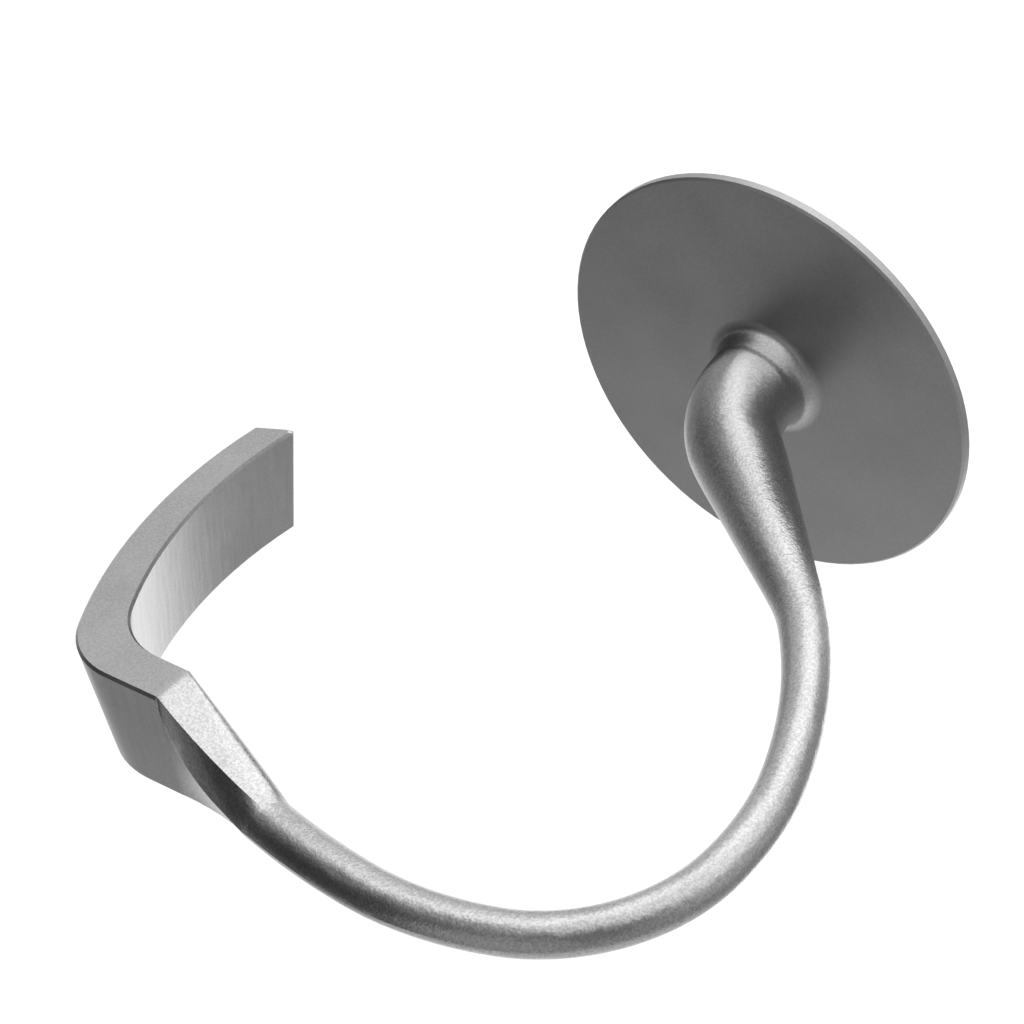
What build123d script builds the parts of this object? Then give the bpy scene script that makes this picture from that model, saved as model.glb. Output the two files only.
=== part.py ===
"""Stand mixer dough hook: one aluminium casting with a drive socket, a dough guard disc, a tapered rod
bent into an open C, and a flat drafted blade.

The frame has +Z up along the drive axis and its origin at the centre of the socket's mouth. The hook lies
in the XZ plane with its C open to the top, its front faces -Y, and the mould's parting line follows the
XZ plane along the rod. Drawings of the hook have X across and Z up.
"""

from build123d import *
import math
import os

# Dough guard disc
disc_diameter = 80.0
disc_thickness = 2.2
disc_edge_chamfer = 0.4

# Drive socket on top of the disc, for a shaft with a cross pin
shaft_diameter = 10.0
shaft_clearance = 0.3
hub_diameter = 18.0
hub_height = 24.0
hub_root_flare = 2.0
hub_rim_chamfer = 0.5
socket_depth = 21.0
pin_diameter = 5.0
pin_clearance = 0.4
slot_entry_depth = 13.0
slot_angle = 58.0
slot_seat_rise = 3.5

# Boss under the disc
boss_diameter = 17.5
boss_length = 3.4
boss_flare = 3.0

# Rod, as a chain of tangent runs: lengths, bend radii, and bend angles in degrees
elbow_radius = 23.5
elbow_angle = 46.8
upper_arm_length = 20.6
lower_arm_length = 19.4
shoulder_radius = 57.0
shoulder_angle = 9.0
flank_radius = 105.0
flank_angle = 20.3
hip_radius = 55.4
hip_angle = 23.3
toe_radius = 30.9
toe_angle = 68.8
sole_radius = 62.0
sole_angle = 24.1
heel_radius = 144.0
heel_angle = 8.5

# Rod diameters along the chain
elbow_diameter = 16.3
arm_diameter = 12.7
shoulder_diameter = 8.3
hip_diameter = 7.5
toe_diameter = 8.1
heel_diameter = 8.7

# Angle at which each mould half leaves the parting line of the lower rod
parting_draft_angle = 7.0

# Neck between the rod and the blade, with a sloping facet on its front
neck_length = 28.1
neck_in_angle = 4.8
neck_out_angle = 18.2
facet_end_outer_offset = 0.9
facet_end_inner_offset = 2.5
facet_waist_outer_offset = 2.8
waist_inner_offset = 4.65
waist_inner_round = 3.0
back_end_outer_offset = 2.7
back_end_inner_offset = 1.0
back_waist_outer_offset = 2.0
back_waist_inner_offset = 1.0

# Parting line on the outside of the neck, as the control lengths of its curve
parting_low_length = 17.0
parting_steep_height = 7.0
parting_low_offset = 5.8
parting_steep_offset = 3.9

# Blade: a leg, a rounded corner and a curved arm, drafted from the front face to the back
blade_front_reach = 10.5
blade_back_reach = 11.0
wall_draft_angle = 7.5
leg_draft_angle = 2.0
tip_draft_angle = 0.5
leg_thickness = 8.4
leg_length = 9.6
corner_radius = 13.9
corner_angle = 61.3
outer_corner_radius = 15.0
outer_corner_back_radius = 18.0
inner_corner_radius = 13.7
blade_radius = 81.5
blade_angle = 38.3
tip_thickness = 6.5
tip_slant_angle = 33.0
tip_corner_round = 0.6
blade_edge_chamfer = 0.5

# Sections that the rod and the neck are lofted through
section_spacing = 6.0
section_arc_count = 12
neck_section_count = 7

# Heights that follow from the sizes above
disc_top = -hub_height
disc_underside = disc_top - disc_thickness
boss_end = disc_underside - boss_length
blade_depth = blade_front_reach + blade_back_reach


def between(first: Vector, last: Vector, way: float) -> Vector:
    """Point at a part of the straight way from the first point to the last."""
    return first * (1 - way) + last * way


def flare(start: tuple, corner: tuple, end: tuple) -> Edge:
    """Quarter-round curve that leaves its start towards a corner and arrives at its end from it."""
    roundness = 0.5523
    leaving = between(Vector(start), Vector(corner), roundness)
    arriving = between(Vector(end), Vector(corner), roundness)
    return Bezier(start, leaving, arriving, end)


def head() -> Part:
    """Hub, disc and boss, turned as one profile about the drive axis."""
    hub_radius = hub_diameter / 2
    boss_radius = boss_diameter / 2
    disc_radius = disc_diameter / 2
    hub_root = (hub_radius, disc_top + hub_root_flare)
    hub_foot = (hub_radius + hub_root_flare, disc_top)
    boss_root = (boss_radius + boss_flare, disc_underside)
    boss_side = (boss_radius, disc_underside - boss_flare)
    hub = Polyline((0, 0), (hub_radius - hub_rim_chamfer, 0), (hub_radius, -hub_rim_chamfer), hub_root)
    hub_flare = flare(hub_root, (hub_radius, disc_top), hub_foot)
    disc = Polyline(
        hub_foot,
        (disc_radius - disc_edge_chamfer, disc_top),
        (disc_radius, disc_top - disc_edge_chamfer),
        (disc_radius, disc_underside + disc_edge_chamfer),
        (disc_radius - disc_edge_chamfer, disc_underside),
        boss_root,
    )
    boss_root_flare = flare(boss_root, (boss_radius, disc_underside), boss_side)
    boss = Polyline(boss_side, (boss_radius, boss_end), (0, boss_end), (0, 0))
    profile = make_face(hub.edges() + [hub_flare] + disc.edges() + [boss_root_flare] + boss.edges())
    return revolve(Plane.XZ * profile, Axis.Z)


def drive_socket() -> Part:
    """The blind bore and its bayonet slot: a way in, a turn, and a seat for the cross pin."""
    bore_radius = (shaft_diameter + shaft_clearance) / 2
    slot_width = pin_diameter + pin_clearance
    reach = hub_diameter
    from_axis = (Align.MIN, Align.CENTER, Align.MIN)
    turn_level = Pos(0, 0, -slot_entry_depth)
    seat_level = Pos(0, 0, slot_seat_rise - slot_entry_depth)
    seat_angle = Rot(0, 0, slot_angle)
    bore = Pos(0, 0, -socket_depth / 2) * Cylinder(bore_radius, socket_depth)
    pin_hole = Rot(0, 90, 0) * Cylinder(slot_width / 2, reach, align=(Align.CENTER, Align.CENTER, Align.MIN))
    way_in = turn_level * Box(reach, slot_width, slot_entry_depth, align=from_axis)
    turn_section = Plane.XZ * Pos(reach / 2, -slot_entry_depth) * Rectangle(reach, slot_width)
    turn = revolve(turn_section, Axis.Z, slot_angle)
    seat = seat_angle * turn_level * Box(reach, slot_width, slot_seat_rise, align=from_axis)
    corner = turn_level * pin_hole
    far_corner = seat_angle * corner
    seat_end = seat_angle * seat_level * pin_hole
    return bore + way_in + corner + turn + far_corner + seat + seat_end


def turned(direction: Vector, degrees: float) -> Vector:
    """A direction in the drawing of the hook, turned anticlockwise."""
    return direction.rotate(Axis.Z, degrees)


def left_of(direction: Vector) -> Vector:
    """The direction to the left of travel, which is the outside of the C."""
    return turned(direction, 90)


def across(point: Vector, heading: Vector) -> Plane:
    """Plane across the hook, with local X out of the C and local Y to the hook's front."""
    outside = left_of(heading)
    return Plane(
        origin=(point.X, 0, point.Y),
        x_dir=(outside.X, 0, outside.Y),
        z_dir=(heading.X, 0, heading.Y),
    )


def skin(piece: Part, ends: list[Plane]) -> list[Face]:
    """Faces of a piece without the flat end faces that another piece carries on from."""
    end_faces = [face for face in piece.faces() for end in ends if face.is_planar and face.is_coplanar(end)]
    return [face for face in piece.faces() if face not in end_faces]


def rod_runs() -> list[Edge]:
    """Centreline of the rod in the drawing of the hook, run by run from the boss to the neck."""
    bends = [
        (shoulder_radius, shoulder_angle),
        (flank_radius, flank_angle),
        (hip_radius, hip_angle),
        (toe_radius, toe_angle),
        (sole_radius, sole_angle),
        (heel_radius, heel_angle),
    ]
    elbow = JernArc((0, boss_end), (0, -1), elbow_radius, elbow_angle)
    upper_arm = Line(elbow @ 1, elbow @ 1 + (elbow % 1) * upper_arm_length)
    lower_arm = Line(upper_arm @ 1, upper_arm @ 1 + (elbow % 1) * lower_arm_length)
    runs = [elbow, upper_arm, lower_arm]
    for radius, turn in bends:
        last = runs[-1]
        runs.append(JernArc(last @ 1, last % 1, radius, -turn))
    return runs


def smooth_law(knots: list[tuple[float, float]], length: float) -> float:
    """Value at a length along the rod, on a smooth curve through knots of (length, value)."""
    steps = []
    for (start, first), (end, last) in zip(knots, knots[1:]):
        steps.append((end - start, (last - first) / (end - start)))
    slopes = [0.0]
    for (_, before), (_, after) in zip(steps, steps[1:]):
        slopes.append(2 * before * after / (before + after) if before * after > 0 else 0.0)
    slopes.append(0.0)
    ends = [end for end, _ in knots[1:-1]]
    index = sum(length > end for end in ends)
    width, slope = steps[index]
    start, first = knots[index]
    way = (length - start) / width
    bend_in = slopes[index] - slope
    bend_out = slopes[index + 1] - slope
    return first + width * way * (slope + (1 - way) * (bend_in * (1 - way) - bend_out * way))


def rod_level(diameter: float, draft: float, offset: float) -> float:
    """Height of a rod section's front arc above the parting line, at an offset from its middle."""
    lean = math.radians(draft)
    arc_radius = diameter / 2 / math.cos(lean)
    return math.sqrt(arc_radius**2 - offset**2) - arc_radius * math.sin(lean)


def rod_section(diameter: float, draft: float) -> Face:
    """Section of the rod: a front and a back half that meet on the parting line at the draft angle."""
    step_angle = math.pi / section_arc_count
    offsets = [diameter / 2 * math.cos(step_angle * step) for step in range(section_arc_count + 1)]
    front = [Vector(offset, rod_level(diameter, draft, offset)) for offset in offsets]
    back = [-point for point in front]
    arcs = []
    for start in range(0, section_arc_count, 2):
        arcs.append(ThreePointArc(*front[start:start + 3]))
        arcs.append(ThreePointArc(*back[start:start + 3]))
    return make_face(arcs)


def rod_skin(runs: list[Edge]) -> list[Face]:
    """Skin of the tapered rod, open at the neck: each run is lofted through sections across it."""
    ends = [0.0]
    for run in runs:
        ends.append(ends[-1] + run.length)
    elbow_end, upper_arm_end, _, shoulder_end, _, hip_end, toe_end, _, heel_end = ends[1:]
    diameters = [
        (0.0, boss_diameter),
        (elbow_end, elbow_diameter),
        (upper_arm_end, arm_diameter),
        (shoulder_end, shoulder_diameter),
        (hip_end, hip_diameter),
        (toe_end, toe_diameter),
        (heel_end, heel_diameter),
    ]
    drafts = [(0.0, 0.0), (hip_end, 0.0), (toe_end, parting_draft_angle), (heel_end, parting_draft_angle)]
    faces = []
    for run, start in zip(runs, ends):
        count = math.ceil(run.length / section_spacing)
        planes = [across(run @ (step / count), run % (step / count)) for step in range(count + 1)]
        sections = []
        for step, plane in enumerate(planes):
            length = start + run.length * step / count
            sections.append(plane * rod_section(smooth_law(diameters, length), smooth_law(drafts, length)))
        open_ends = planes[-1:] if run is runs[0] else [planes[0], planes[-1]]
        faces += skin(loft(sections), open_ends)
    return faces


def blade_runs(start: Vector, heading: Vector) -> list[Edge]:
    """Centreline of the blade's front face in the drawing: leg, corner and arm."""
    leg = Line(start, start + heading * leg_length)
    corner = JernArc(leg @ 1, leg % 1, corner_radius, -corner_angle)
    arm = JernArc(corner @ 1, corner % 1, blade_radius, -blade_angle)
    return [leg, corner, arm]


def blade_levels() -> list[tuple[float, float]]:
    """Depths behind the front face at which the blade is drawn, and how far its rim is broken there."""
    rim = blade_edge_chamfer
    return [(0.0, rim), (rim, 0.0), (blade_depth - rim, 0.0), (blade_depth, rim)]


def inset(draft: float, depth: float) -> float:
    """How far a drafted wall comes in, at a depth behind the blade's front face."""
    return depth * math.tan(math.radians(draft))


def corner_arc(runs: list[Edge], leg_side: float, arm_side: float, radius: float) -> Edge:
    """Arc from a line beside the leg to one beside the arm's start, each at its offset to the outside."""
    leg, _, arm = runs
    reach = math.tan(math.radians(corner_angle / 2))
    meeting = leg @ 1 + (leg % 1) * (corner_radius * reach)
    aside = ((leg % 1) * arm_side - (arm % 0) * leg_side) / math.sin(math.radians(corner_angle))
    return JernArc(meeting + aside - (leg % 1) * (radius * reach), leg % 1, radius, -corner_angle)


def blade_outline(runs: list[Edge], depth: float, rim: float) -> Face:
    """Outline of the blade in the drawing, at a depth behind its front face, drawn in by a rim's width."""
    leg, _, arm = runs
    outside = left_of(leg % 0)
    wall_inset = inset(wall_draft_angle, depth) + rim
    leg_inset = inset(leg_draft_angle, depth) + rim
    leg_side = leg_thickness / 2 - leg_inset
    arm_side = leg_thickness / 2 - wall_inset
    way_back = depth / blade_depth
    outer_radius = outer_corner_radius * (1 - way_back) + outer_corner_back_radius * way_back
    outer_corner = corner_arc(runs, leg_side, arm_side, outer_radius - rim)
    inner_corner = corner_arc(runs, -arm_side, -arm_side, inner_corner_radius + wall_inset)
    tip = arm @ 1 - (arm % 1) * (inset(tip_draft_angle, depth) + rim)
    tip_edge = left_of(arm % 1) - (arm % 1) * math.tan(math.radians(tip_slant_angle))
    outer_tip = tip + tip_edge * (tip_thickness / 2 - leg_inset)
    inner_tip = tip - tip_edge * (tip_thickness / 2 - wall_inset)
    outer_leg = Line(leg @ 0 + outside * leg_side, outer_corner @ 0)
    inner_leg = Line(leg @ 0 - outside * arm_side, inner_corner @ 0)
    outer_arm = TangentArc(outer_corner @ 1, outer_tip, tangent=outer_corner % 1)
    inner_arm = TangentArc(inner_corner @ 1, inner_tip, tangent=inner_corner % 1)
    tip_end = Line(outer_tip, inner_tip)
    leg_end = Line(inner_leg @ 0, outer_leg @ 0)
    sides = [outer_leg, outer_corner, outer_arm, tip_end, inner_arm, inner_corner, inner_leg, leg_end]
    outline = make_face(sides)
    tip_corners = outline.vertices().sort_by_distance(tip)[:2]
    return fillet(tip_corners, tip_corner_round)


def blade(runs: list[Edge]) -> Part:
    """Blade, drafted from its front face to its back, with both rims broken."""
    outlines = []
    for depth, rim in blade_levels():
        outlines.append(Plane.XZ.offset(blade_front_reach - depth) * blade_outline(runs, depth, rim))
    return loft(outlines, ruled=True)


def blade_end_corners() -> list[Vector]:
    """Corners of the blade's end where the neck meets it, from the back outside round over the front."""
    half = leg_thickness / 2
    outer = []
    inner = []
    for depth, rim in blade_levels():
        level = blade_front_reach - depth
        outer.append(Vector(half - inset(leg_draft_angle, depth) - rim, level))
        inner.append(Vector(inset(wall_draft_angle, depth) + rim - half, level))
    return outer[::-1] + inner


def heel_level(offset: float) -> float:
    """Height of the rod's last section above the parting line, at an offset from its middle."""
    return rod_level(heel_diameter, parting_draft_angle, offset)


def rod_end_corners() -> list[Vector]:
    """Points of the rod's last section that the blade's corners run out to, in the same order."""
    back_offsets = [back_end_outer_offset, back_end_outer_offset + blade_edge_chamfer]
    front_offsets = [facet_end_outer_offset, -facet_end_inner_offset]
    inner_offsets = [-back_end_inner_offset - blade_edge_chamfer, -back_end_inner_offset]
    corners = [Vector(offset, -heel_level(offset)) for offset in back_offsets]
    corners.append(Vector(heel_diameter / 2, 0))
    corners += [Vector(offset, heel_level(offset)) for offset in front_offsets]
    corners.append(Vector(-heel_diameter / 2, 0))
    return corners + [Vector(offset, -heel_level(offset)) for offset in inner_offsets]


def waist_corners(rod_corners: list[Vector], blade_corners: list[Vector]) -> list[Vector]:
    """Corners of the neck's middle section, halfway up between those of its ends, rounded inside."""
    levels = [(rod.Y + blade.Y) / 2 for rod, blade in zip(rod_corners, blade_corners)]
    back_outer, wall_outer, parting, facet_outer, facet_inner, _, wall_inner, back_inner = levels
    return [
        Vector(back_waist_outer_offset, back_outer),
        Vector(back_waist_outer_offset + blade_edge_chamfer, wall_outer),
        Vector(parting_low_offset, parting),
        Vector(facet_waist_outer_offset, facet_outer),
        Vector(waist_inner_round - waist_inner_offset, facet_inner),
        Vector(-waist_inner_offset, facet_inner - waist_inner_round),
        Vector(-back_waist_inner_offset - blade_edge_chamfer, wall_inner),
        Vector(-back_waist_inner_offset, back_inner),
    ]


def sides_of(corners: list[Vector]) -> list[tuple[Vector, Vector]]:
    """Each corner of a section with the next one."""
    return list(zip(corners, corners[1:] + corners[:1]))


def bowed(first: Vector, middle: Vector, last: Vector, way: float) -> Vector:
    """Point on the curve through three points, at a part of the way from the first to the last."""
    left = 1 - way
    return first * (left * (left - way)) + middle * (4 * way * left) + last * (way * (way - left))


def rod_end_bulges(corners: list[Vector]) -> list[Vector]:
    """How far the rod's last section stands off the chord from each of its corners to the next."""
    bulges = []
    for start, end in sides_of(corners):
        middle = (start + end) / 2
        arc_level = math.copysign(heel_level(middle.X), middle.Y)
        bulges.append(Vector(0, arc_level - middle.Y))
    return bulges


def parting_line(start: Vector, end: Vector) -> Edge:
    """Parting line on the neck's outside, from the rod to the blade: length along, offset and height."""
    return Bezier(
        (0, start.X, start.Y),
        (parting_low_length, parting_low_offset, 0),
        (neck_length, parting_steep_offset, end.Y - parting_steep_height),
        (neck_length, end.X, end.Y),
    )


def neck_section(corners: list[Vector], bulges: list[Vector]) -> Face:
    """Section with an arc from each corner to the next, or a line where it has no bulge off the chord."""
    sides = []
    for (start, end), bulge in zip(sides_of(corners), bulges):
        if bulge.length > 0.001:
            sides.append(ThreePointArc(start, (start + end) / 2 + bulge, end))
        else:
            sides.append(Line(start, end))
    return make_face(sides)


def neck(rod_end: Plane, blade_end: Plane) -> Part:
    """Neck, where the flat blade runs out into the round rod and the parting line drops to the middle."""
    parting_index = 2
    rounded_index = 4
    rod_corners = rod_end_corners()
    blade_corners = blade_end_corners()
    middle_corners = waist_corners(rod_corners, blade_corners)
    line = parting_line(rod_corners[parting_index], blade_corners[parting_index])
    rod_bulges = rod_end_bulges(rod_corners)
    round_bulge = Vector(-1, 1) * (waist_inner_round * (math.sqrt(0.5) - 0.5))
    sections = []
    for step in range(neck_section_count):
        on_line = line @ (step / (neck_section_count - 1))
        way = on_line.X / neck_length
        corners = [bowed(*places, way) for places in zip(rod_corners, middle_corners, blade_corners)]
        corners[parting_index] = Vector(on_line.Y, on_line.Z)
        bulges = [bulge * (1 - way) ** 2 for bulge in rod_bulges]
        bulges[rounded_index] = bowed(rod_bulges[rounded_index], round_bulge, Vector(0, 0), way)
        plane = Plane(
            origin=between(rod_end.origin, blade_end.origin, way),
            x_dir=between(rod_end.x_dir, blade_end.x_dir, way),
            z_dir=between(rod_end.z_dir, blade_end.z_dir, way),
        )
        sections.append(plane * neck_section(corners, bulges))
    return loft(sections)


def hook() -> Part:
    """The whole casting: rod, neck and blade share one closed skin, and the head is fused to it."""
    runs = rod_runs()
    last = runs[-1]
    neck_heading = turned(last % 1, -neck_in_angle)
    leg_start = last @ 1 + neck_heading * neck_length
    leg_heading = turned(neck_heading, neck_out_angle)
    rod_end = across(last @ 1, last % 1)
    blade_end = across(leg_start, leg_heading)
    neck_skin = skin(neck(rod_end, blade_end), [rod_end, blade_end])
    blade_skin = skin(blade(blade_runs(leg_start, leg_heading)), [blade_end])
    bar = Part(Solid(Shell(rod_skin(runs) + neck_skin + blade_skin)).wrapped)
    return head() + bar - drive_socket()


if __name__ == "__main__":
    os.makedirs("parts", exist_ok=True)
    export_step(hook(), "parts/dough_hook.step")
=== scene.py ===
"""Looks of a stand mixer dough hook, one aluminium casting that hangs by its drive socket.

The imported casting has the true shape, so this script gives it its blasted, drawn and smooth finishes, and
sets up the studio: a pale floor far below, a surround with soft bright and dim patches, lamps and camera.
"""

import logging
import math
from dataclasses import dataclass
from enum import Enum
from typing import Union

import bpy
import numpy as np
from mathutils import Matrix, Vector


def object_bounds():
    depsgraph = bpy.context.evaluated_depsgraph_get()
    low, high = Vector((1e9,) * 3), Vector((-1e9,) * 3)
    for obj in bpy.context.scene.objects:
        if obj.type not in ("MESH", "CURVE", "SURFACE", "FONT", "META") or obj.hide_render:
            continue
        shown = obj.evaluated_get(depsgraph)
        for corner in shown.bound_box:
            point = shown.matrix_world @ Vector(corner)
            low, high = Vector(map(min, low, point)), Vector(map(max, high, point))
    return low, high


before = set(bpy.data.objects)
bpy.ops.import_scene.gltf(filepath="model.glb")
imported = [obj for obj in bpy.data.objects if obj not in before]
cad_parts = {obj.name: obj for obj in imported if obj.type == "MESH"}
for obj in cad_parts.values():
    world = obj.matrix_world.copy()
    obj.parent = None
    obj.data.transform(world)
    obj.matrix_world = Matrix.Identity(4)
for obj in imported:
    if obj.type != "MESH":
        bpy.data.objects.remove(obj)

LOG = logging.getLogger("dough_hook")
CAD_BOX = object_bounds()
MM = 0.001
IMAGE_PIXELS = 1024
NOISE_MIDDLE = 0.5

# A plain number, or the output socket that gives one
Number = Union[float, bpy.types.NodeSocket]
# Where a smooth ramp starts and where it is full
Span = tuple[float, float]


class Kind(Enum):
    """Kinds of socket that the node groups take and give."""

    GEOMETRY = "NodeSocketGeometry"
    NUMBER = "NodeSocketFloat"
    VECTOR = "NodeSocketVector"


@dataclass
class Graph:
    """A node tree with short calls to add nodes and join their sockets."""

    tree: bpy.types.NodeTree

    def add(self, kind: str, **settings: object) -> bpy.types.Node:
        """Add a node and set its properties.

        Args:
            kind: Blender's type name of the node.
            settings: Properties of the node and their values.

        Returns:
            The new node.
        """
        node = self.tree.nodes.new(kind)
        for name, value in settings.items():
            setattr(node, name, value)
        return node

    def feed(self, socket: bpy.types.NodeSocket, value: object) -> None:
        """Set an input socket to a plain value, or join it to an output socket.

        Args:
            socket: The input socket.
            value: The plain value or the output socket.
        """
        if isinstance(value, bpy.types.NodeSocket):
            self.tree.links.new(value, socket)
        else:
            socket.default_value = value

    def put(self, node: bpy.types.Node, **inputs: object) -> bpy.types.Node:
        """Set a node's inputs to plain values or join them to output sockets.

        Args:
            node: The node whose inputs are set.
            inputs: Input names, with _ for a space, and a value or an output socket for each.

        Returns:
            The same node.
        """
        for name, value in inputs.items():
            self.feed(node.inputs[name.replace("_", " ")], value)
        return node

    def math(self, operation: str, *values: Number) -> bpy.types.NodeSocket:
        """Work out one number from others.

        Args:
            operation: Blender's name of the operation.
            values: Numbers, in order.

        Returns:
            The socket with the result.
        """
        node = self.add("ShaderNodeMath", operation=operation)
        for socket, value in zip(node.inputs, values):
            self.feed(socket, value)
        return node.outputs["Value"]

    def total(self, first: Number, *others: Number) -> Number:
        """Add numbers up.

        Args:
            first: The first number.
            others: The rest, in order.

        Returns:
            The socket with their sum.
        """
        for other in others:
            first = self.math("ADD", first, other)
        return first

    def product(self, first: Number, *others: Number) -> Number:
        """Multiply numbers together.

        Args:
            first: The first number.
            others: The rest, in order.

        Returns:
            The socket with their product.
        """
        for other in others:
            first = self.math("MULTIPLY", first, other)
        return first

    def ramp(self, value: Number, low: float, high: float, out_low: float = 0.0,
             out_high: float = 1.0) -> bpy.types.NodeSocket:
        """Map a range of a number smoothly to another, and hold it past the ends.

        Args:
            value: The number.
            low: Where the ramp starts.
            high: Where the ramp ends.
            out_low: Result at the start and before it.
            out_high: Result at the end and past it.

        Returns:
            The socket with the result.
        """
        node = self.add("ShaderNodeMapRange", interpolation_type="SMOOTHSTEP")
        self.put(node, Value=value, From_Min=low, From_Max=high, To_Min=out_low, To_Max=out_high)
        return node.outputs["Result"]

    def mix(self, factor: Number, start: Number, end: Number) -> bpy.types.NodeSocket:
        """Blend from one number to another.

        Args:
            factor: 0 for the start and 1 for the end.
            start: The number at 0.
            end: The number at 1.

        Returns:
            The socket with the blend.
        """
        node = self.add("ShaderNodeMix", data_type="FLOAT")
        self.put(node, Factor=factor, A=start, B=end)
        return node.outputs["Result"]


def new_group(name: str, inputs: dict[str, Kind], outputs: dict[str, Kind],
              tree_kind: str = "ShaderNodeTree") -> tuple[Graph, bpy.types.Node, bpy.types.Node]:
    """Start a node group.

    Args:
        name: Name of the group.
        inputs: Input names and their kinds.
        outputs: Output names and their kinds.
        tree_kind: Blender's type name of the group's tree.

    Returns:
        The group's graph, its input node and its output node.
    """
    tree = bpy.data.node_groups.new(name, tree_kind)
    for socket, kind in inputs.items():
        tree.interface.new_socket(socket, in_out="INPUT", socket_type=kind.value)
    for socket, kind in outputs.items():
        tree.interface.new_socket(socket, in_out="OUTPUT", socket_type=kind.value)
    graph = Graph(tree)
    return graph, graph.add("NodeGroupInput"), graph.add("NodeGroupOutput")


@dataclass(frozen=True)
class BlastedGrain:
    """Shader group for a blasted skin: fine dents over slower waves, and specks that catch the light."""

    name: str = "blasted_grain"
    dent_detail: float = 2.0
    dent_roughness: float = 0.6
    wave_share: float = 0.35
    wave_detail: float = 1.0
    height_share: float = 0.5
    speck_span: Span = (0.35, 0.65)

    def build(self) -> bpy.types.NodeTree:
        """Make the group, whose height adds two sizes of noise and whose specks follow the finer one.

        Returns:
            The shader node group.
        """
        graph, given, made = new_group(
            self.name,
            {"Vector": Kind.VECTOR, "Grains per metre": Kind.NUMBER},
            {"Height": Kind.NUMBER, "Speck": Kind.NUMBER},
        )
        place = given.outputs["Vector"]
        fineness = given.outputs["Grains per metre"]
        dents = graph.add("ShaderNodeTexNoise")
        graph.put(dents, Vector=place, Scale=fineness, Detail=self.dent_detail, Roughness=self.dent_roughness)
        wave_fineness = graph.product(fineness, self.wave_share)
        waves = graph.add("ShaderNodeTexNoise")
        graph.put(waves, Vector=place, Scale=wave_fineness, Detail=self.wave_detail)
        height = graph.total(dents.outputs["Fac"], waves.outputs["Fac"])
        graph.put(made, Height=graph.product(height, self.height_share))
        graph.put(made, Speck=graph.ramp(dents.outputs["Fac"], *self.speck_span))
        return graph.tree


@dataclass(frozen=True)
class DrawStreaks:
    """Shader group for faint streaks that run the way a wall was drawn from its mould, along Y."""

    name: str = "draw_streaks"
    along: float = 0.06
    detail: float = 3.0

    def build(self) -> bpy.types.NodeTree:
        """Make the group, whose streak value is a noise stretched along Y.

        Returns:
            The shader node group.
        """
        graph, given, made = new_group(
            self.name,
            {"Vector": Kind.VECTOR, "Streaks per metre": Kind.NUMBER},
            {"Streak": Kind.NUMBER},
        )
        stretched = graph.add("ShaderNodeMapping")
        graph.put(stretched, Vector=given.outputs["Vector"], Scale=(1.0, self.along, 1.0))
        noise = graph.add("ShaderNodeTexNoise")
        graph.put(noise, Vector=stretched.outputs["Vector"], Scale=given.outputs["Streaks per metre"],
                  Detail=self.detail)
        graph.put(made, Streak=noise.outputs["Fac"])
        return graph.tree


@dataclass(frozen=True)
class Marks:
    """Places on the casting that its finish and its shading follow."""

    disc_low: float = -26.2 * MM
    disc_radius: float = 40.0 * MM
    elbow_low: float = -100.0 * MM
    blade_side: float = -33.0 * MM


@dataclass(frozen=True)
class Zones:
    """Sockets that tell a material where on the casting a point lies and which way it faces.

    The sockets whose names start with on are 1 in their zone and 0 outside it.
    """

    place: bpy.types.NodeSocket
    normal: bpy.types.NodeSocket
    spot: bpy.types.Node
    facing: bpy.types.Node
    sideways: bpy.types.NodeSocket
    on_disc: bpy.types.NodeSocket
    on_blade: bpy.types.NodeSocket
    on_wall: bpy.types.NodeSocket


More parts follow.
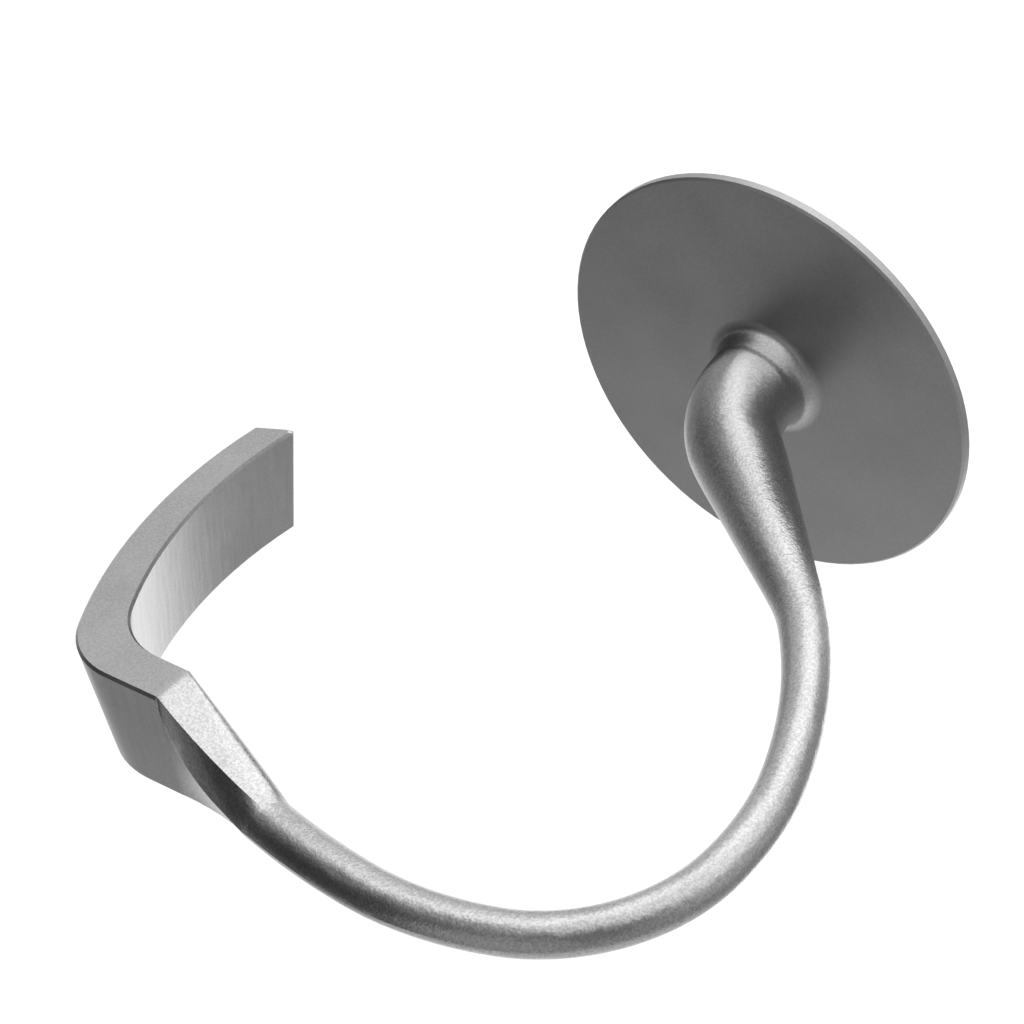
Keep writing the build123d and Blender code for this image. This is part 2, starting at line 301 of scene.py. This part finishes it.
@dataclass(frozen=True)
class CastSkin:
    """Finish of the whole casting: blasted rod, drawn blade walls, and a smoother guard disc and hub.

    The spans are in the part of the surface direction that lies along one axis, from 0 to 1 or -1.
    Its colour also holds painted shade on the blade's inner rim and flat sides, and painted shade and light
    across the disc.
    """

    name: str = "cast_aluminium_skin"
    colour: tuple[float, float, float] = (0.42, 0.42, 0.425)
    rod_roughness: float = 0.28
    disc_roughness: float = 0.46
    wall_roughness: float = 0.34
    disc_margin: float = 0.1 * MM
    blade_blend: float = 2.0 * MM
    wall_span: Span = (0.75, 0.45)

    grains_per_metre: float = 2300.0
    grain_depth: float = 0.09 * MM
    rod_grain: float = 1.0
    elbow_grain: float = 0.45
    flat_grain: float = 0.35
    wall_grain: float = 0.10
    disc_grain: float = 0.08
    speckle: float = 0.30

    streaks_per_metre: float = 900.0
    streak_depth: float = 0.5
    streak_tone: float = 0.25
    blotches_per_metre: float = 70.0
    blotch_detail: float = 3.0
    blotch_roughness: float = 0.12
    blotch_tone: float = 0.30

    elbow_lean: float = -0.34
    lean_start: float = 36.0 * MM
    lean_full: float = 10.0 * MM
    lean_span: Span = (0.1, -0.8)
    flare_tilt: float = -0.36
    flare_start: float = 4.5 * MM
    flare_full: float = 2.8 * MM
    flare_end: float = 0.9 * MM
    groove_below: float = 4.3 * MM
    groove_half_width: float = 1.0 * MM
    groove_share: float = 0.7

    # Painted shade: share of tone taken off the blade's inner rim, which shows as a thin dark line
    rim_painted_shade: float = 0.5
    rim_off_wall: Span = (0.50, 0.62)
    rim_off_flat: Span = (0.93, 0.84)
    rim_inward: Span = (0.05, 0.25)
    # Painted shade: share of tone taken off the blade's flat sides
    flat_painted_shade: float = 0.20
    flat_span: Span = (0.96, 0.99)
    # Painted shade and light: the disc's colour grows darker towards -Y and lighter towards +Y
    disc_painted_gradient: float = 0.16

    def zones(self, graph: Graph, marks: Marks) -> Zones:
        """Tell the casting's zones apart, by place and by the way the surface faces.

        Args:
            graph: The material's graph.
            marks: Places on the casting.

        Returns:
            The sockets of the zones.
        """
        where = graph.add("ShaderNodeTexCoord")
        place = where.outputs["Object"]
        normal = where.outputs["Normal"]
        spot = graph.put(graph.add("ShaderNodeSeparateXYZ"), Vector=place)
        facing = graph.put(graph.add("ShaderNodeSeparateXYZ"), Vector=normal)
        sideways = graph.math("ABSOLUTE", facing.outputs["Y"])
        on_disc = graph.ramp(spot.outputs["Z"], marks.disc_low - self.flare_end,
                             marks.disc_low - self.disc_margin)
        off_blade = graph.ramp(spot.outputs["X"], marks.blade_side - self.blade_blend,
                               marks.blade_side + self.blade_blend)
        on_blade = graph.product(graph.math("SUBTRACT", 1.0, off_blade), graph.math("SUBTRACT", 1.0, on_disc))
        on_wall = graph.product(on_blade, graph.ramp(sideways, *self.wall_span))
        return Zones(place, normal, spot, facing, sideways, on_disc, on_blade, on_wall)

    def grain_amount(self, graph: Graph, zones: Zones, marks: Marks) -> bpy.types.NodeSocket:
        """Work out how deep the grain is, as a share of its full depth.

        Args:
            graph: The material's graph.
            zones: The casting's zones.
            marks: Places on the casting.

        Returns:
            The socket with the share.
        """
        along_rod = graph.ramp(zones.spot.outputs["Z"], marks.disc_low - self.lean_start,
                               marks.disc_low - self.lean_full, self.rod_grain, self.elbow_grain)
        over_blade = graph.mix(zones.on_wall, self.flat_grain, self.wall_grain)
        below_disc = graph.mix(zones.on_blade, along_rod, over_blade)
        return graph.mix(zones.on_disc, below_disc, self.disc_grain)

    def lean(self, graph: Graph, zones: Zones, marks: Marks) -> Number:
        """Work out how far the shading leans down, on the elbow's front and on the flare under the disc.

        A soft groove parts the two.

        Args:
            graph: The material's graph.
            zones: The casting's zones.
            marks: Places on the casting.

        Returns:
            The socket with what the surface direction gains along Z.
        """
        height = zones.spot.outputs["Z"]
        elbow = graph.ramp(height, marks.disc_low - self.lean_start, marks.disc_low - self.lean_full,
                           0.0, self.elbow_lean)
        flare = graph.math("SUBTRACT", self.flare_tilt, zones.facing.outputs["Z"])
        on_flare = graph.ramp(height, marks.disc_low - self.flare_start, marks.disc_low - self.flare_full)
        below_disc = graph.ramp(height, marks.disc_low, marks.disc_low - self.flare_end)
        in_front = graph.ramp(zones.facing.outputs["Y"], *self.lean_span)
        above_groove = graph.math("SUBTRACT", height, marks.disc_low - self.groove_below)
        groove = graph.ramp(graph.math("ABSOLUTE", above_groove), 0.0, self.groove_half_width,
                            self.groove_share, 1.0)
        return graph.product(graph.mix(on_flare, elbow, flare), below_disc, in_front, groove)

    def direction(self, graph: Graph, zones: Zones, lean: Number, height: Number) -> bpy.types.NodeSocket:
        """Make the surface direction, leaning and with the relief of the grain and the streaks.

        Args:
            graph: The material's graph.
            zones: The casting's zones.
            lean: What the direction gains along Z.
            height: Height of the relief, as a share of the grain's depth.

        Returns:
            The socket with the direction.
        """
        downward = graph.put(graph.add("ShaderNodeCombineXYZ"), Z=lean)
        leaning = graph.add("ShaderNodeVectorMath", operation="ADD")
        graph.feed(leaning.inputs[0], zones.normal)
        graph.feed(leaning.inputs[1], downward.outputs["Vector"])
        bump = graph.add("ShaderNodeBump")
        graph.put(bump, Strength=1.0, Distance=self.grain_depth, Height=height,
                  Normal=leaning.outputs["Vector"])
        return bump.outputs["Normal"]

    def painted_rim_and_flat_shade(self, graph: Graph, zones: Zones) -> Number:
        """Work out the painted shade on the blade's inner rim and its flat sides: how much darker their
        colour is.

        Args:
            graph: The material's graph.
            zones: The casting's zones.

        Returns:
            The socket with the share of the tone that is left.
        """
        on_rim = graph.product(
            graph.ramp(zones.sideways, *self.rim_off_wall),
            graph.ramp(zones.sideways, *self.rim_off_flat),
            graph.ramp(zones.facing.outputs["X"], *self.rim_inward),
            zones.on_blade,
        )
        on_flat = graph.product(zones.on_blade, graph.ramp(zones.sideways, *self.flat_span))
        return graph.product(
            graph.mix(on_rim, 1.0, 1.0 - self.rim_painted_shade),
            graph.mix(on_flat, 1.0, 1.0 - self.flat_painted_shade),
        )

    def material(self, marks: Marks, grain: bpy.types.NodeTree,
                 streaks: bpy.types.NodeTree) -> bpy.types.Material:
        """Make the material, with each zone told by its place on the casting and the way it faces.

        Args:
            marks: Places on the casting.
            grain: The blasted grain group.
            streaks: The draw streak group.

        Returns:
            The material.
        """
        material = bpy.data.materials.new(self.name)
        material.use_nodes = True
        graph = Graph(material.node_tree)
        zones = self.zones(graph, marks)
        grains = graph.add("ShaderNodeGroup", node_tree=grain)
        graph.put(grains, Vector=zones.place, Grains_per_metre=self.grains_per_metre)
        drawn = graph.add("ShaderNodeGroup", node_tree=streaks)
        graph.put(drawn, Vector=zones.place, Streaks_per_metre=self.streaks_per_metre)
        blotches = graph.add("ShaderNodeTexNoise")
        graph.put(blotches, Vector=zones.place, Scale=self.blotches_per_metre, Detail=self.blotch_detail)

        amount = self.grain_amount(graph, zones, marks)
        speck = graph.math("SUBTRACT", grains.outputs["Speck"], NOISE_MIDDLE)
        streak = graph.product(graph.math("SUBTRACT", drawn.outputs["Streak"], NOISE_MIDDLE), zones.on_wall)
        blotch = graph.math("SUBTRACT", blotches.outputs["Fac"], NOISE_MIDDLE)
        # Painted shade and light across the disc: darker towards -Y, lighter towards +Y
        painted_gradient = graph.ramp(zones.spot.outputs["Y"], -marks.disc_radius, marks.disc_radius,
                           -self.disc_painted_gradient, self.disc_painted_gradient)

        height = graph.total(graph.product(grains.outputs["Height"], amount),
                             graph.product(streak, self.streak_depth))
        direction = self.direction(graph, zones, self.lean(graph, zones, marks), height)
        roughness = graph.mix(zones.on_wall, self.rod_roughness, self.wall_roughness)
        roughness = graph.mix(zones.on_disc, roughness, self.disc_roughness)
        roughness = graph.total(roughness, graph.product(blotch, self.blotch_roughness))
        tone = graph.total(
            1.0,
            graph.product(blotch, self.blotch_tone),
            graph.product(speck, graph.product(graph.math("SQRT", amount), self.speckle)),
            graph.product(streak, self.streak_tone),
            graph.product(painted_gradient, zones.on_disc),
        )
        colour = graph.add("ShaderNodeVectorMath", operation="SCALE")
        # The colour is darkened by painted shade on the blade's inner rim and flat sides
        graph.put(colour, Vector=self.colour, Scale=graph.product(tone, self.painted_rim_and_flat_shade(graph, zones)))

        shader = graph.tree.nodes["Principled BSDF"]
        graph.put(shader, Base_Color=colour.outputs["Vector"], Roughness=roughness, Metallic=1.0,
                  Normal=direction)
        return material


@dataclass
class DoughHook:
    """The casting: guard disc and hub, tapered rod, neck and blade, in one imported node.

    The creases are the least angles, in degrees, at which two faces meet at an edge.
    """

    node: str = "dough_hook"
    join_distance: float = 0.002 * MM
    elbow_crease: float = 34.0
    crease: float = 20.0
    crease_blend: float = 5.0 * MM
    marks: Marks = Marks()
    skin: CastSkin = CastSkin()

    def edge_group(self) -> bpy.types.NodeTree:
        """Make the group that parts a skin where its faces meet at an edge.

        The least angle of an edge is wider on the tight elbow, whose facets meet at more, than below it.

        Returns:
            The geometry node group.
        """
        graph, given, made = new_group("keep_edges", {"Geometry": Kind.GEOMETRY}, {"Geometry": Kind.GEOMETRY},
                                       "GeometryNodeTree")
        spot = graph.add("ShaderNodeSeparateXYZ")
        graph.put(spot, Vector=graph.add("GeometryNodeInputPosition").outputs["Position"])
        least = graph.ramp(spot.outputs["Z"], self.marks.elbow_low - self.crease_blend, self.marks.elbow_low,
                           math.radians(self.crease), math.radians(self.elbow_crease))
        angle = graph.add("GeometryNodeInputMeshEdgeAngle").outputs["Unsigned Angle"]
        parted = graph.add("GeometryNodeSplitEdges")
        graph.put(parted, Mesh=given.outputs["Geometry"], Selection=graph.math("GREATER_THAN", angle, least))
        graph.put(made, Geometry=parted.outputs["Mesh"])
        return graph.tree

    def smooth(self, casting: bpy.types.Object) -> None:
        """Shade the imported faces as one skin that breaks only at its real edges.

        Args:
            casting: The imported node's object.
        """
        join = casting.modifiers.new("join_faces", "WELD")
        join.merge_threshold = self.join_distance
        edges = casting.modifiers.new("keep_edges", "NODES")
        edges.node_group = self.edge_group()
        shade = casting.modifiers.new("even_shading", "WEIGHTED_NORMAL")
        shade.mode = "FACE_AREA_WITH_ANGLE"

    def dress(self) -> bpy.types.Object:
        """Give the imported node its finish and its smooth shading.

        Returns:
            The node's object.
        """
        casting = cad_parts[self.node]
        material = self.skin.material(self.marks, BlastedGrain().build(), DrawStreaks().build())
        for slot in casting.material_slots:
            slot.material = material
        self.smooth(casting)
        LOG.info("%s dressed in %s", casting.name, material.name)
        return casting


def heading(azimuth: float, elevation: float) -> Vector:
    """Give the unit vector of a direction.

    Args:
        azimuth: Angle from +X towards +Y, in degrees.
        elevation: Angle above the level, in degrees.

    Returns:
        The unit vector.
    """
    turn = math.radians(azimuth)
    lift = math.radians(elevation)
    return Vector((math.cos(lift) * math.cos(turn), math.cos(lift) * math.sin(turn), math.sin(lift)))


@dataclass(frozen=True)
class Lamp:
    """A square soft lamp that faces the casting's middle from one direction."""

    name: str
    azimuth: float
    elevation: float
    distance: float
    side: float
    brightness: float

    def place(self, middle: Vector) -> bpy.types.Object:
        """Add the lamp.

        Args:
            middle: The point that it faces.

        Returns:
            The lamp's object. Its power is brightness times pi times its area.
        """
        light = bpy.data.lights.new(self.name, "AREA")
        light.shape = "SQUARE"
        light.size = self.side
        light.energy = self.brightness * math.pi * self.side**2
        lamp = bpy.data.objects.new(self.name, light)
        away = heading(self.azimuth, self.elevation)
        lamp.location = middle + away * self.distance
        lamp.rotation_euler = away.to_track_quat("Z", "Y").to_euler()
        bpy.context.scene.collection.objects.link(lamp)
        LOG.info("%s placed", self.name)
        return lamp


@dataclass(frozen=True)
class Glow:
    """A round patch of the studio's surround, brighter or dimmer than the rest, with a soft edge."""

    azimuth: float
    elevation: float
    inner: float
    outer: float
    gain: float

    def light(self, graph: Graph, direction: bpy.types.NodeSocket) -> bpy.types.NodeSocket:
        """Add the patch's light to a graph.

        Args:
            graph: The world's graph.
            direction: Socket with the direction looked along.

        Returns:
            A socket with the gain inside the patch, falling to 0 at its outer edge.
        """
        towards = graph.add("ShaderNodeVectorMath", operation="DOT_PRODUCT")
        graph.feed(towards.inputs[0], direction)
        graph.feed(towards.inputs[1], heading(self.azimuth, self.elevation))
        edge = math.cos(math.radians(self.outer))
        full = math.cos(math.radians(self.inner))
        return graph.ramp(towards.outputs["Value"], edge, full, 0.0, self.gain)


@dataclass(frozen=True)
class MattPaint:
    """Plain matt paint for the studio's own surfaces, faintly mottled."""

    name: str
    value: float
    roughness: float = 0.9
    mottles_per_metre: float = 9.0
    mottle: float = 0.03
    mottle_span: Span = (0.3, 0.7)

    def material(self) -> bpy.types.Material:
        """Make the material: one grey, with a slow noise over it.

        Returns:
            The material.
        """
        material = bpy.data.materials.new(self.name)
        material.use_nodes = True
        graph = Graph(material.node_tree)
        where = graph.add("ShaderNodeTexCoord")
        noise = graph.add("ShaderNodeTexNoise")
        graph.put(noise, Vector=where.outputs["Object"], Scale=self.mottles_per_metre)
        grey = graph.ramp(noise.outputs["Fac"], *self.mottle_span, self.value * (1 - self.mottle), self.value)
        colour = graph.add("ShaderNodeCombineColor")
        graph.put(colour, Red=grey, Green=grey, Blue=grey)
        shader = graph.tree.nodes["Principled BSDF"]
        graph.put(shader, Base_Color=colour.outputs["Color"], Roughness=self.roughness)
        return material


def round_sheet(name: str, radius: float, rings: int = 24, spokes: int = 96) -> bpy.types.Object:
    """Make a flat round sheet at height 0, facing up.

    The sheet is a grid of ring and spoke: x is r cos(a) and y is r sin(a), with r from 0 at its middle.

    Args:
        name: Name of the object.
        radius: Radius of the sheet.
        rings: Rings from the middle to the rim.
        spokes: Points round each ring.

    Returns:
        The sheet's object.
    """
    ring, spoke = np.meshgrid(np.arange(1, rings + 1), np.arange(spokes), indexing="ij")
    reach = radius * ring / rings
    angle = 2 * np.pi * spoke / spokes
    grid = np.stack([reach * np.cos(angle), reach * np.sin(angle), np.zeros_like(reach)], axis=-1)
    points = np.vstack([np.zeros((1, 3)), grid.reshape(-1, 3)])
    number = 1 + np.arange(rings * spokes).reshape(rings, spokes)
    after = np.roll(number, -1, axis=1)
    quads = np.stack([number[:-1], number[1:], after[1:], after[:-1]], axis=-1).reshape(-1, 4)
    middle = np.stack([np.zeros(spokes, int), number[0], after[0]], axis=-1)
    mesh = bpy.data.meshes.new(name)
    mesh.from_pydata(points.tolist(), [], middle.tolist() + quads.tolist())
    sheet = bpy.data.objects.new(name, mesh)
    bpy.context.scene.collection.objects.link(sheet)
    return sheet


@dataclass
class Studio:
    """Floor, surround, lamps and camera."""

    middle: Vector
    floor_level: float = -0.70
    floor_radius: float = 0.32
    floor_aside: float = 0.10
    floor_grey: float = 0.5
    surround: float = 0.43
    camera_place: tuple[float, float, float] = (377.3 * MM, -466.0 * MM, -532.1 * MM)
    azimuth: float = 40.0
    elevation: float = -36.4
    roll: float = 45.6
    focal_pixels: float = 4500.0
    axis_below_middle_pixels: float = 28.0
    sensor_width: float = 36.0
    nearest: float = 0.01
    glows: tuple[Glow, ...] = (
        Glow(azimuth=130.0, elevation=36.4, inner=14.0, outer=40.0, gain=0.6),
        Glow(azimuth=-80.0, elevation=22.0, inner=0.0, outer=62.0, gain=1.2),
        Glow(azimuth=89.0, elevation=-7.0, inner=0.0, outer=51.0, gain=0.45),
        Glow(azimuth=183.0, elevation=65.0, inner=20.0, outer=45.0, gain=0.4),
        Glow(azimuth=-112.0, elevation=13.0, inner=0.0, outer=26.0, gain=0.7),
        Glow(azimuth=-20.0, elevation=30.0, inner=0.0, outer=50.0, gain=0.3),
        Glow(azimuth=-150.0, elevation=24.0, inner=0.0, outer=25.0, gain=0.4),
        Glow(azimuth=-35.0, elevation=-48.0, inner=0.0, outer=42.0, gain=-0.17),
        Glow(azimuth=189.0, elevation=-42.0, inner=10.0, outer=55.0, gain=-0.37),
    )
    lamps: tuple[Lamp, ...] = (
        Lamp("key_lamp", azimuth=-98.0, elevation=54.0, distance=0.8, side=0.6, brightness=0.85),
        Lamp("rim_lamp", azimuth=95.0, elevation=45.0, distance=0.8, side=0.4, brightness=1.1),
    )

    def build_floor(self) -> bpy.types.Object:
        """Lay the pale floor below the camera.

        Returns:
            The floor's object.
        """
        floor = round_sheet("floor", self.floor_radius)
        floor.location = (self.floor_aside, 0.0, self.floor_level)
        floor.data.materials.append(MattPaint("pale_floor", self.floor_grey).material())
        LOG.info("floor laid at %.2f m", self.floor_level)
        return floor

    def build_surround(self) -> bpy.types.World:
        """Make the world: an even grey surround with soft brighter and dimmer patches.

        Returns:
            The world.
        """
        world = bpy.data.worlds.new("studio_surround")
        world.use_nodes = True
        graph = Graph(world.node_tree)
        direction = graph.add("ShaderNodeTexCoord").outputs["Generated"]
        strength = graph.total(self.surround, *[glow.light(graph, direction) for glow in self.glows])
        strength = graph.math("MAXIMUM", strength, 0.0)
        graph.put(graph.tree.nodes["Background"], Color=(1.0, 1.0, 1.0, 1.0), Strength=strength)
        bpy.context.scene.world = world
        LOG.info("surround lit with %d patches", len(self.glows))
        return world

    def build_camera(self) -> bpy.types.Object:
        """Set the camera where the photograph was taken from, with its roll and focal length.

        Returns:
            The camera's object.
        """
        turn = math.radians(self.azimuth)
        lift = math.radians(self.elevation)
        lean = math.radians(self.roll)
        back = Vector((math.sin(turn) * math.cos(lift), -math.cos(turn) * math.cos(lift), math.sin(lift)))
        level = Vector((math.cos(turn), math.sin(turn), 0.0))
        rise = back.cross(level)
        right = level * math.cos(lean) + rise * math.sin(lean)
        up = back.cross(right)
        lens = bpy.data.cameras.new("camera")
        lens.sensor_width = self.sensor_width
        lens.lens = lens.sensor_width * self.focal_pixels / IMAGE_PIXELS
        lens.shift_y = self.axis_below_middle_pixels / IMAGE_PIXELS
        lens.clip_start = self.nearest
        camera = bpy.data.objects.new("camera", lens)
        turned = Matrix((right, up, back)).transposed().to_4x4()
        camera.matrix_world = Matrix.Translation(self.camera_place) @ turned
        bpy.context.scene.collection.objects.link(camera)
        bpy.context.scene.camera = camera
        LOG.info("camera set")
        return camera

    def build(self) -> None:
        """Set up the whole studio."""
        self.build_floor()
        self.build_surround()
        for lamp in self.lamps:
            lamp.place(self.middle)
        self.build_camera()


def main() -> None:
    """Dress the casting and set up its studio."""
    logging.basicConfig(level=logging.INFO, format="%(name)s: %(message)s")
    bpy.context.scene.view_settings.view_transform = "Standard"
    DoughHook().dress()
    low, high = CAD_BOX
    Studio(middle=(low + high) / 2).build()


if __name__ == "__main__":
    main()
